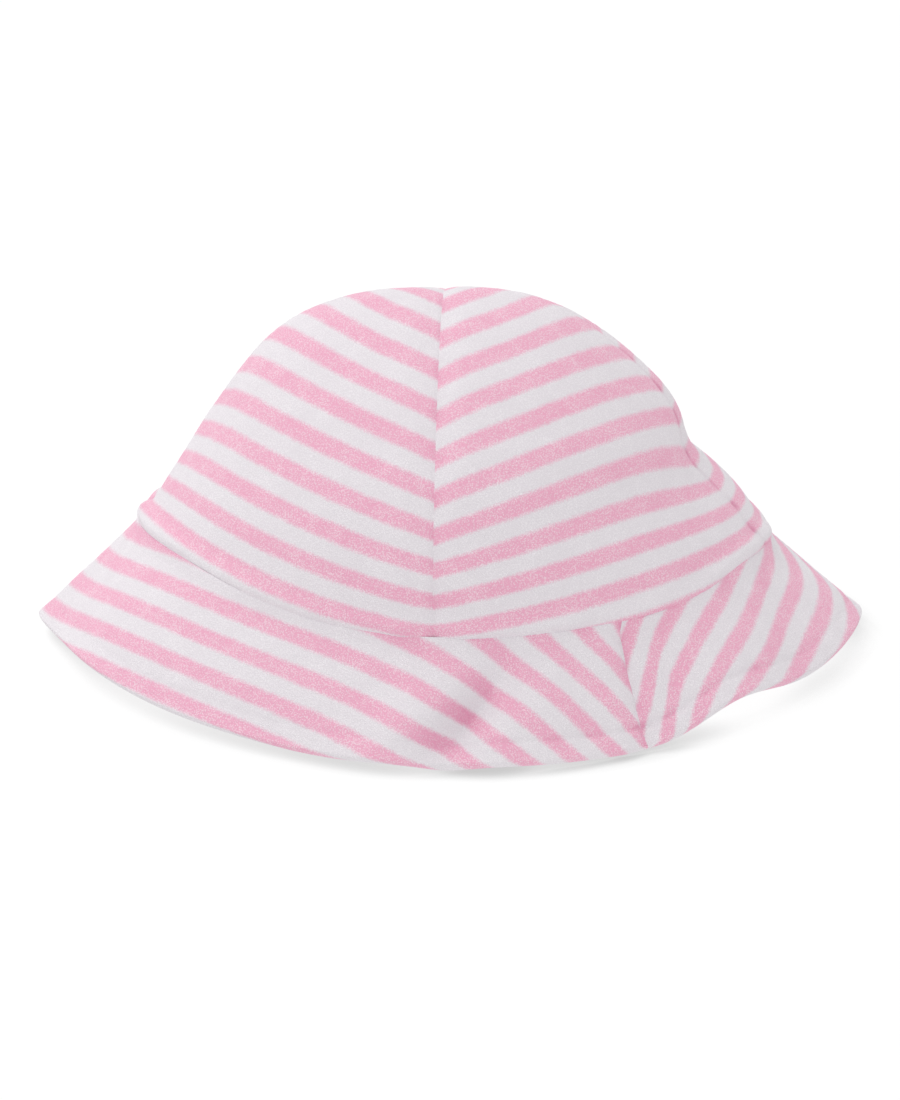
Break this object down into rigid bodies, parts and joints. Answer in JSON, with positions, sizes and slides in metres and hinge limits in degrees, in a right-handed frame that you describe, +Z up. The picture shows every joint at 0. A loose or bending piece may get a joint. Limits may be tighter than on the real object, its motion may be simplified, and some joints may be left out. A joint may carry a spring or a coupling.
{
  "type": "bucket hat",
  "caption": "Soft baby bucket hat in striped terry velour: an oval gored crown, a sewn-on sloping brim, a lining and a sweatband.",
  "frame": {"origin": "on the surface the hat stands on, at the middle of the brim's oval outline, under the crown", "axes": "+Z up through the crown, +X along the oval's long axis towards the right side as seen from the front, -Y out of the front of the hat"},
  "size_m": [0.2203, 0.1813, 0.0957],
  "materials": {
    "striped_velour": "soft pile, pink and white stripes",
    "cotton_lining": "matte fine jersey",
    "band_tape": "matte twill tape"
  },
  "bodies": {
    "root": {"crown_gore_front_left": "striped_velour", "crown_gore_front_right": "striped_velour", "crown_gore_back_right": "striped_velour", "crown_gore_back_left": "striped_velour", "lining_gore_front_left": "cotton_lining", "lining_gore_front_right": "cotton_lining", "lining_gore_back_right": "cotton_lining", "lining_gore_back_left": "cotton_lining", "sweatband": "band_tape", "brim_top_front_left": "striped_velour", "brim_top_back_right": "striped_velour", "brim_under_front_left": "striped_velour", "brim_under_back_right": "striped_velour"}
  },
  "joints": []
}
